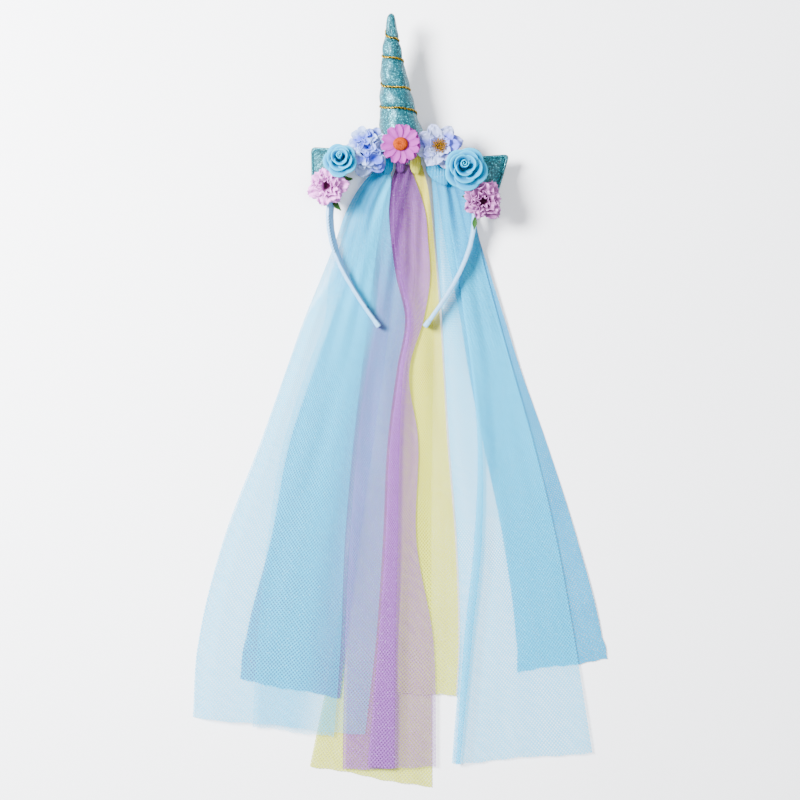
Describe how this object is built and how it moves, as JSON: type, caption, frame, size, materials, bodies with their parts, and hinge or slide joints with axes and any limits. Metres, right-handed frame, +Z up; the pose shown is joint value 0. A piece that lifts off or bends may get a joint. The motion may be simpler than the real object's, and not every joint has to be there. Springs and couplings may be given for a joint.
{
  "type": "costume headband",
  "caption": "Unicorn costume headband: stuffed horn wound with metallic cord, padded ears, a garland of cloth and foam flowers, and a long veil of tulle tails.",
  "frame": {"origin": "middle of the bounding box, on the surface that the headband lies on", "axes": "+Z up from the surface, +Y from the veil's hem towards the horn's tip, and +X to the right as seen from above"},
  "size_m": [0.3394, 0.6294, 0.047],
  "materials": {
    "band_ribbon": "satin ribbon wound over a stiff strip",
    "horn_lame": "glitter lame cloth",
    "gold_cord": "metallic twisted cord",
    "daisy_pink": "matte cloth petals",
    "daisy_orange": "matte foam",
    "carnation_mauve": "matte cloth petals with deep pink bases",
    "rose_foam": "matte soft foam",
    "hydrangea_lavender": "matte cloth petals",
    "anemone_white": "matte cloth petals",
    "stamen_gold": "satin",
    "leaf_green": "matte cloth",
    "tulle_blue": "sheer tulle",
    "tulle_violet": "sheer tulle",
    "tulle_yellow": "sheer tulle"
  },
  "bodies": {
    "root": {"anemone_petals": "anemone_white", "anemone_stamens": "stamen_gold", "band": "band_ribbon", "carnation_left": "carnation_mauve", "carnation_right": "carnation_mauve", "daisy_disc": "daisy_orange", "daisy_petals": "daisy_pink", "ear_left": "horn_lame", "ear_right": "horn_lame", "horn": "horn_lame", "horn_cord": "gold_cord", "hydrangea_florets": "hydrangea_lavender", "knot_blue_left": "tulle_blue", "knot_blue_right": "tulle_blue", "knot_violet": "tulle_violet", "knot_yellow": "tulle_yellow", "leaf_left_lower": "leaf_green", "leaf_left_upper": "leaf_green", "leaf_right_lower": "leaf_green", "leaf_right_upper": "leaf_green", "rose_left": "rose_foam", "rose_right": "rose_foam", "tulle_blue_left_lower": "tulle_blue", "tulle_blue_left_upper": "tulle_blue", "tulle_blue_right_lower": "tulle_blue", "tulle_blue_right_upper": "tulle_blue", "tulle_violet_left": "tulle_violet", "tulle_violet_right": "tulle_violet", "tulle_yellow_left": "tulle_yellow", "tulle_yellow_right": "tulle_yellow"}
  },
  "joints": []
}
